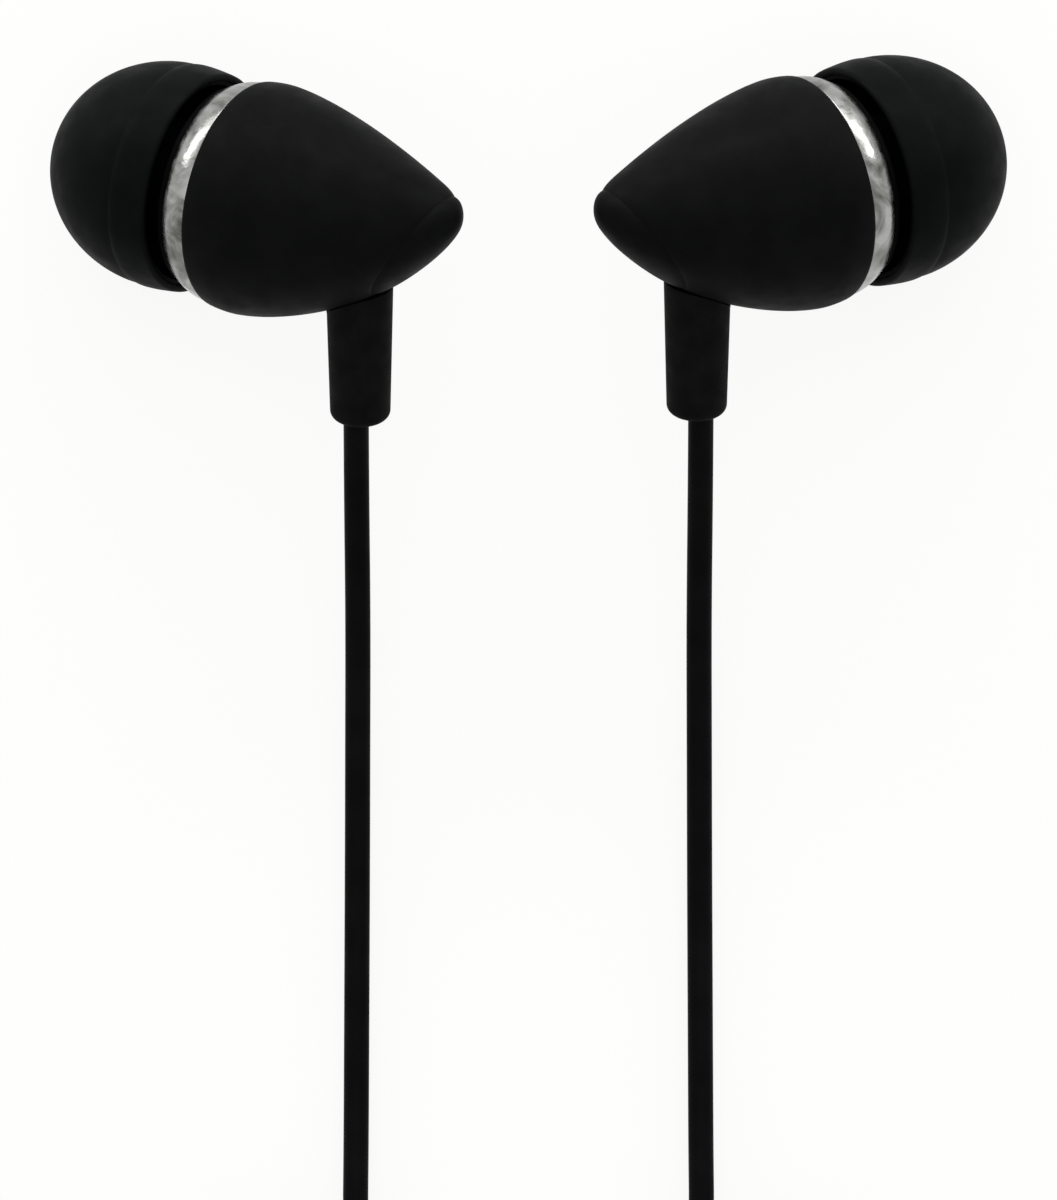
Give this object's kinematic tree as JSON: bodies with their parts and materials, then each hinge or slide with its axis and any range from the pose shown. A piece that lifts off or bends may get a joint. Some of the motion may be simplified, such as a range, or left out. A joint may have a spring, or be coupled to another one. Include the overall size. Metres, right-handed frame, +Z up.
{
  "type": "wired earphones",
  "caption": "Teardrop in-ear buds with soft domed tips and bright trim rings, on thin cords joined at a splitter to a longer cord with a stereo plug, the spare length coiled.",
  "frame": {"origin": "on the surface that the set lies on, under the middle of the box round the two buds", "axes": "+X from the left bud to the right bud, +Z up, the cords run towards -Y"},
  "size_m": [0.0518, 0.1443, 0.0167],
  "materials": {
    "silicone": "soft satin black silicone",
    "mesh_steel": "fine perforated steel",
    "front_shell": "matte black moulded plastic",
    "ring_chrome": "mottled bright plating",
    "shell": "soft-touch matte black",
    "relief_rubber": "soft matte black",
    "foam": "thin closed-cell foam",
    "driver_steel": "plain pressed steel",
    "film": "clear amber film",
    "copper": "enamelled copper winding",
    "magnet": "nickel-plated magnet",
    "driver_plastic": "plain black moulding",
    "felt": "thin black paper felt",
    "board": "green laminate with solder joints",
    "wire": "enamelled conductor",
    "cord_jacket": "smooth black jacket",
    "tie": "plain black band",
    "splitter_plastic": "matte black moulding",
    "plug_plastic": "matte black moulding",
    "plug_metal": "bright nickel plating",
    "insulator": "smooth black plastic"
  },
  "bodies": {
    "root": {"left_nozzle_mesh": "mesh_steel", "left_front_housing": "front_shell", "left_trim_ring": "ring_chrome", "left_rear_housing": "shell", "left_tail_cap": "shell", "left_strain_relief": "relief_rubber", "left_cord_knot": "cord_jacket", "left_driver_gasket": "foam", "left_driver_cover": "driver_steel", "left_driver_plate": "driver_steel", "left_driver_magnet": "magnet", "left_driver_cup": "driver_steel", "left_driver_frame": "driver_plastic", "left_vent_felt": "felt", "left_terminal_board": "board", "left_lead_wires": "wire", "left_cord": "cord_jacket", "left_cord_coil": "cord_jacket", "left_cord_tail": "cord_jacket", "left_coil_tie": "tie", "right_nozzle_mesh": "mesh_steel", "right_front_housing": "front_shell", "right_trim_ring": "ring_chrome", "right_rear_housing": "shell", "right_tail_cap": "shell", "right_strain_relief": "relief_rubber", "right_cord_knot": "cord_jacket", "right_driver_gasket": "foam", "right_driver_cover": "driver_steel", "right_driver_plate": "driver_steel", "right_driver_magnet": "magnet", "right_driver_cup": "driver_steel", "right_driver_frame": "driver_plastic", "right_vent_felt": "felt", "right_terminal_board": "board", "right_lead_wires": "wire", "right_cord": "cord_jacket", "right_cord_coil": "cord_jacket", "right_cord_tail": "cord_jacket", "right_coil_tie": "tie", "main_cord": "cord_jacket", "main_cord_coil": "cord_jacket", "main_cord_tail": "cord_jacket", "main_coil_tie": "tie", "cord_splitter": "splitter_plastic", "plug_strain_relief": "relief_rubber", "plug_grip": "plug_plastic", "plug_sleeve_contact": "plug_metal", "plug_insulators": "insulator", "plug_ring_contact": "plug_metal", "plug_tip_contact": "plug_metal"},
    "left_tip": {"left_ear_tip": "silicone"},
    "right_tip": {"right_ear_tip": "silicone"},
    "left_cone": {"left_diaphragm": "film", "left_voice_coil": "copper"},
    "right_cone": {"right_diaphragm": "film", "right_voice_coil": "copper"}
  },
  "joints": [
    {"name": "left_tip_pull", "type": "slide", "parent": "root", "child": "left_tip", "axis": [-0.85, 0.2389, -0.4695], "range_m": [0, 0.0062]},
    {"name": "left_cone_travel", "type": "slide", "parent": "root", "child": "left_cone", "axis": [0.85, -0.2389, 0.4695], "range_m": [-0.0002, 0.0002], "stiffness_N_per_m": 50},
    {"name": "right_tip_pull", "type": "slide", "parent": "root", "child": "right_tip", "axis": [0.85, 0.2389, -0.4695], "range_m": [0, 0.0062]},
    {"name": "right_cone_travel", "type": "slide", "parent": "root", "child": "right_cone", "axis": [-0.85, -0.2389, 0.4695], "range_m": [-0.0002, 0.0002], "stiffness_N_per_m": 50}
  ]
}
